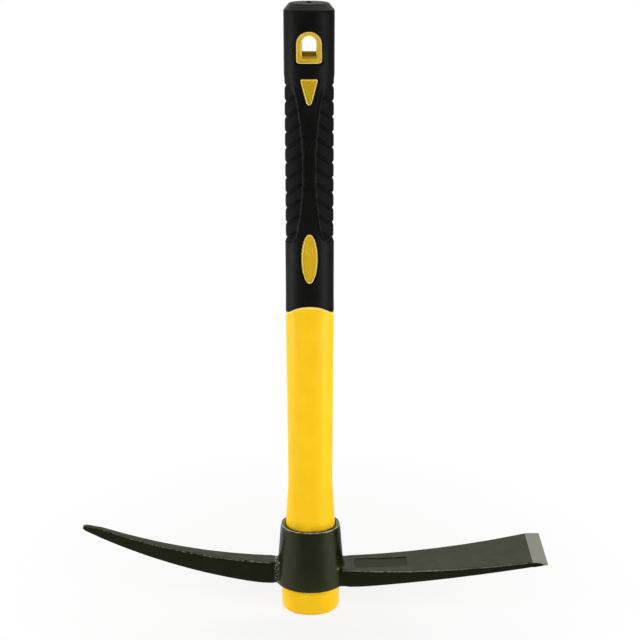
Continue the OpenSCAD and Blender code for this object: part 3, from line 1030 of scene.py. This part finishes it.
def coated(name, tones, tone_scale, grain, bump, over=None, dull=None, **plain):
    """A finish with an uneven tone, what lies over it, and a grain, duller where a stored value says."""
    material, tree, shader = new_finish(name, **plain)
    colour, deeper = ((*tone, 1) for tone in tones)
    tone = place_group(tree, uneven_tone, Colour=colour, Deeper=deeper, Scale=tone_scale)["Colour"]
    tree.links.new(over(tree, tone) if over else tone, shader.inputs["Base Color"])
    scale, roughest, smoothest = grain
    grains = place_group(tree, fine_grain, Scale=scale, Roughest=roughest, Smoothest=smoothest)
    roughness = grains["Roughness"]
    if dull:
        stored, dullest = dull
        roughness = ramp(tree, read_share(tree, stored), to_low=roughness, to_high=dullest)
    tree.links.new(roughness, shader.inputs["Roughness"])
    add_bump(tree, shader, grains["Height"], *bump)
    return material


print("node groups", len(bpy.data.node_groups))

# %% Painted forging
PAINT, PAINT_SHEEN = ((0.0052, 0.0064, 0.0018), (0.0034, 0.0042, 0.0010)), (0.92, 1.0, 0.54, 1)
# Colours of the rubbed edges, which also stand for painted glints: bare on the collar, half bare on the arms.
BARE_AND_GLINT, HALF_BARE_AND_GLINT = (0.30, 0.30, 0.25, 1), (0.14, 0.145, 0.11, 1)


def painted(name, shine, roughest, smoothest, rubbed_and_glint):
    """Thin olive-black paint, rubbed along its edges and painted light there as glints, and duller in the
    pressed panel.
    """

    def rub_and_glint_edges(tree, tone):
        edge = read_share(tree, "edge_wear_and_glint")
        mask = place_group(tree, rubbed_glinting_edges, Edge=edge, Scale=420.0, Onset=1.3)["Mask"]
        return blend(tree, mask, tone, rubbed_and_glint)

    grain, looks = (1500.0, roughest, smoothest), {"Specular_IOR_Level": shine, "Specular_Tint": PAINT_SHEEN}
    return coated(name, PAINT, 95.0, grain, (0.35, 0.014), rub_and_glint_edges, ("pressed", 0.5), **looks)


arm_paint = painted("arm_paint", 0.14, 0.42, 0.32, HALF_BARE_AND_GLINT)
collar_paint = painted("collar_paint", 0.37, 0.40, 0.24, BARE_AND_GLINT)
print("paints", arm_paint.name, collar_paint.name)

# %% Ground steel
STEEL, STEEL_DEEP, GRIND_LINES = (0.195, 0.195, 0.172, 1), (0.16, 0.16, 0.141, 1), (60.0, 2600.0, 60.0)
ground, tree, shader = new_finish("ground_steel", Metallic=0.55, Specular_IOR_Level=0.5, Roughness=0.5)
along = add_node(tree, "ShaderNodeMapping", {"Vector": object_place(tree), "Scale": GRIND_LINES})
lines = noise(tree, along.outputs["Vector"], 1.0, 3.0, 0.6)
tree.links.new(blend(tree, ramp(tree, lines, 0.3, 0.7), STEEL, STEEL_DEEP), shader.inputs["Base Color"])
add_bump(tree, shader, lines, 0.25, 0.05)
print("steel", ground.name)

# %% Moulded yellow, its fields and its lips
# Colour of the painted shade on the yellow next to the eye's foot and rim.
SEAT_SHADE = (0.56, 0.335, 0.006, 1)
# A ring of painted shade at each end of the eye: where it starts, is darkest, and ends.
SEAT_SHADE_RINGS = ((15, 18.5, 19.5, 23), (54, 58, 59.5, 66))


def seat_painted_shade(tree, colour):
    """The yellow darkened by painted shade in a patchy ring at each end of the eye."""
    at = object_place(tree)
    height = add_node(tree, "ShaderNodeSeparateXYZ", {0: at}).outputs["Z"]
    patchy = ramp(tree, noise(tree, at, 160.0, 4.0, 0.65), 0.3, 0.62)
    for low, dark_from, dark_to, high in SEAT_SHADE_RINGS:
        up, down = ramp(tree, height, low * MM, dark_from * MM), ramp(tree, height, high * MM, dark_to * MM)
        shade_share = calc(tree, "MULTIPLY", calc(tree, "MINIMUM", up, down), patchy)
        colour = blend(tree, shade_share, colour, SEAT_SHADE)
    return colour


SATIN, STIPPLED, DULL = (1400.0, 0.42, 0.34), (2200.0, 0.6, 0.5), (1800.0, 0.8, 0.7)
# Each yellow: its two tones, grain, height of the grain and shine.
YELLOWS = {
    "moulded_yellow": ((0.90, 0.545, 0.008), (0.86, 0.50, 0.006), SATIN, 0.03, 0.14),
    # The fields' yellows: the plain yellow darkened as painted shade, with a stippled grain.
    "stippled_frame_painted_shade": ((0.68, 0.44, 0.022), (0.61, 0.39, 0.016), STIPPLED, 0.15, 0.14),
    "stippled_wedge_painted_shade": ((0.55, 0.345, 0.004), (0.48, 0.295, 0.003), STIPPLED, 0.2, 0.14),
    "stippled_oval_painted_shade": ((0.62, 0.385, 0.008), (0.55, 0.335, 0.006), STIPPLED, 0.2, 0.14),
    # The lips' yellow: paler, as a painted highlight along their edges.
    "yellow_lip_painted_highlight": ((0.84, 0.69, 0.21), (0.78, 0.61, 0.16), SATIN, 0.03, 0.14),
    "shaded_hole_yellow": ((0.44, 0.285, 0.008), (0.36, 0.23, 0.006), DULL, 0.1, 0.0),
}
yellows = []
for name, (colour, deeper, grain, high, shine) in YELLOWS.items():
    # Only the plain yellow gets the painted shade at the eye's ends.
    over = seat_painted_shade if name == "moulded_yellow" else None
    tones = (colour, deeper)
    yellows.append(coated(name, tones, 70.0, grain, (0.3, high), over, Specular_IOR_Level=shine))
yellow, frame_shaded_yellow, wedge_shaded_yellow, oval_shaded_yellow, lip_highlight_yellow, hole_yellow = yellows
print("yellows", len(yellows))

# %% Matt rubber
# The rubber's two tones, and the paler grey painted on its top chamfer as light from above.
RUBBER, TOP_LIGHT_GREY = ((0.0050, 0.0050, 0.0047), (0.0034, 0.0034, 0.0032)), (0.060, 0.059, 0.056, 1)


def paint_top_light(tree, tone):
    return blend(tree, read_share(tree, "painted_top_light"), tone, TOP_LIGHT_GREY)


grain, looks = (2400.0, 0.50, 0.42), {"Specular_IOR_Level": 0.055}
rubber = coated("matt_black_rubber", RUBBER, 120.0, grain, (0.4, 0.1), paint_top_light, ("matt_field", 0.64), **looks)
print("rubber", rubber.name)

# %% Cut end of the glass rod
RESIN, FIBRE = (0.66, 0.61, 0.45, 1), (0.40, 0.35, 0.22, 1)
rod, tree, shader = new_finish("glass_rod_end", Specular_IOR_Level=0.5, Roughness=0.55)
cells = add_node(tree, "ShaderNodeTexVoronoi", {"Vector": object_place(tree), "Scale": 2400.0})
shade = ramp(tree, cells.outputs["Distance"], 0.1, 0.6)
tree.links.new(blend(tree, shade, RESIN, FIBRE), shader.inputs["Base Color"])
add_bump(tree, shader, shade, 0.3, 0.05)
print("rod", rod.name)

# %% [markdown]
# ## Dressing the pieces
#
# Every face gets its finish by its place. The ground facet is what faces up past the bevel's start. On the
# jacket, whatever stands over the rubber's plain oval is a lip, what lies just under it is a field, and what
# lies deep under it at the hole is the hole's shaded wall.

# %% Finishes by face
SMOOTH_ANGLE = 35
OVAL_FROM, WEDGE_FROM, FRAME_FROM = 215, 300, 345
LIP_UNDER, FIELD_UNDER, EDGE_UNDER = -0.02, -0.6, -1.2
BEAD_UNDER, BEAD_OVER, BEAD_HALF = -0.9, 0.02, 13.9
FACES_UP, FACES_FRONT = 0.6, 0.3


def dress(obj, materials, choose):
    """Gives a piece its materials, a face at a time, and smooth shading."""
    obj.data.materials.clear()
    for material in materials:
        obj.data.materials.append(material)
    for face in obj.data.polygons:
        face.material_index = materials.index(choose(face.center / MM, face.normal))
    activate(obj)
    bpy.ops.object.shade_smooth_by_angle(angle=math.radians(SMOOTH_ANGLE))


def head_finish(c, normal):
    if c.x > BEVEL_START and normal.z > FACES_UP:
        return ground
    on_collar = math.hypot(c.x, c.y / OVAL) < collar_half(c.z, *OUTSIDE_TAPER) + 0.5
    return collar_paint if on_collar or seam_distance(*c) < SEAM_WIDE else arm_paint


def jacket_finish(c, normal):
    over = abs(c.y) - grip_front(c.x)
    from_foot = c.z - arch_lift(c.x) - RUBBER_FOOT
    # The bead, the lips and the hole's lower chamfer take the paler yellow, a painted highlight on their
    # edges.
    if BEAD_UNDER < from_foot < BEAD_OVER and math.hypot(c.x, c.y / OVAL) > BEAD_HALF:
        return lip_highlight_yellow
    if c.z > FRAME_FROM and over < FIELD_UNDER and abs(c.x) < HOLE[0] + 0.8:
        return hole_yellow if over < EDGE_UNDER else lip_highlight_yellow
    if c.z < OVAL_FROM or abs(c.x) > FRAME[0] + 0.2 or over < FIELD_UNDER or abs(normal.y) < FACES_FRONT:
        return yellow
    if over > LIP_UNDER:
        return lip_highlight_yellow
    # The fields take the yellows that are darkened as painted shade.
    return frame_shaded_yellow if c.z > FRAME_FROM else wedge_shaded_yellow if c.z > WEDGE_FROM else oval_shaded_yellow


dress(head, [arm_paint, ground, collar_paint], head_finish)
dress(jacket, [yellow, wedge_shaded_yellow, oval_shaded_yellow, lip_highlight_yellow, hole_yellow, frame_shaded_yellow], jacket_finish)
dress(grip, [rubber], lambda c, normal: rubber)
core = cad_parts["fibreglass_core"]
core.data.materials.clear()
core.data.materials.append(rod)
for piece, body, node, slot in (
    (head, "head", "head", "forged_head"),
    (jacket, "handle", "handle_jacket", "jacket_yellow"),
    (grip, "handle", "grip", "grip_rubber"),
):
    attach(piece, body)
    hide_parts(node)
    print(piece.name, "triangles", sum(len(f.vertices) - 2 for f in piece.data.polygons))

# %% [markdown]
# ## Floor and light
#
# The picture has a white ground and even studio light: a tall soft light on each side gives the pale bands
# along the handle, one above and behind lights the arms' upper faces, and the front is weaker. The floor's
# edges are drawn up into walls, so that no horizon shows. It is lit like any pale floor, and adds white only
# to what looks at it, so that the tool keeps a soft shadow. In reflections it is dim in front, where a studio
# is dark behind the camera, and in one patch at the right.

# %% Floor
FLOOR_SIDE, WALL_TALL, FLOOR_GREY, WALL_GREY = 16, 2.5, (0.8, 0.8, 0.8, 1), (0.25, 0.25, 0.25, 1)
WHITE = (1, 1, 1, 1)
# How bright the floor shows in reflections, round from the left over the front (0.25) and right (0.5).
DIM_ROUND = ((0.001, 1.0), (0.12, 1.0), (0.18, 0.3), (0.32, 0.3), (0.37, 1.0))
DIM_ROUND += ((0.48, 1.0), (0.53, 0.35), (0.62, 0.35), (0.68, 1.0), (0.999, 1.0))

floor = add_new(bpy.ops.mesh.primitive_plane_add, size=FLOOR_SIDE)
floor.name = floor.data.name = "studio_floor"
start_editing(floor, "SELECT")
bpy.ops.mesh.extrude_edges_move(TRANSFORM_OT_translate={"value": (0, 0, WALL_TALL)})
stop_editing()
studio_white = bpy.data.materials.new("studio_white")
studio_white.use_nodes = True
tree = studio_white.node_tree
tree.nodes.clear()
rays = add_node(tree, "ShaderNodeLightPath").outputs
at = object_place(tree)
around = add_node(tree, "ShaderNodeTexGradient", {"Vector": at}, gradient_type="RADIAL").outputs["Fac"]
dimmed = add_node(tree, "ShaderNodeValToRGB", {"Fac": around})
for turn, level in DIM_ROUND:
    dimmed.color_ramp.elements.new(turn).color = (level, level, level, 1)
height = add_node(tree, "ShaderNodeSeparateXYZ", {0: at}).outputs["Z"]
away = add_node(tree, "ShaderNodeVectorMath", {0: at}, operation="LENGTH").outputs["Value"]
near_white = blend(tree, ramp(tree, away, 0.035, 0.085), WHITE, dimmed.outputs["Color"])
mirrored = blend(tree, ramp(tree, height, 0.05, 0.3), near_white, WALL_GREY)
shown = blend(tree, rays["Is Glossy Ray"], WHITE, mirrored)
seen = calc(tree, "MAXIMUM", rays["Is Camera Ray"], rays["Is Glossy Ray"])
seen = calc(tree, "MAXIMUM", seen, rays["Is Transmission Ray"])
share = calc(tree, "MULTIPLY", seen, ramp(tree, away, 0.02, 0.24, 0.8, 1.0))
matt = add_node(tree, "ShaderNodeBsdfDiffuse", {"Color": FLOOR_GREY}).outputs[0]
white = add_node(tree, "ShaderNodeEmission", {"Color": shown, "Strength": 1.0}).outputs[0]
mixed = add_node(tree, "ShaderNodeMixShader", {0: share, 1: matt, 2: white}).outputs[0]
add_node(tree, "ShaderNodeOutputMaterial", {"Surface": mixed})
floor.data.materials.append(studio_white)
count_faces(floor)

# %% Lights
# Name, place, what it aims at, width and height, all in metres, and watts.
LIGHTS = (
    ("left_light", (-0.52, -0.11, 0.145), (0, 0, 0.135), 0.2, 0.28, 2.4),
    ("right_light", (0.45, -0.27, 0.145), (0, 0, 0.135), 0.2, 0.28, 2.4),
    ("front_light", (0, -1.4, 2.0), (0, 0, 0.2), 2.0, 1.0, 13.5),
    ("back_light", (0, 2.4, 1.75), (0, 0, 0.1), 4.5, 2.0, 66),
)
BACK_TINT, WORLD_STRENGTH = (1.0, 0.99, 0.86), 0.08
for name, place, aim, wide, tall, watts in LIGHTS:
    light = add_new(bpy.ops.object.light_add, type="AREA", location=place)
    light.name = light.data.name = name
    light.data.shape = "RECTANGLE"
    light.data.size, light.data.size_y, light.data.energy = wide, tall, watts
    light.rotation_euler = (mathutils.Vector(aim) - light.location).to_track_quat("-Z", "Y").to_euler()
    print(name, watts, "W")
bpy.data.lights["back_light"].color = BACK_TINT
world = bpy.data.worlds.new("studio")
bpy.context.scene.world = world
world.use_nodes = True
background = world.node_tree.nodes["Background"].inputs
background["Color"].default_value = WHITE
background["Strength"].default_value = WORLD_STRENGTH
bpy.context.scene.view_settings.view_transform = "Standard"
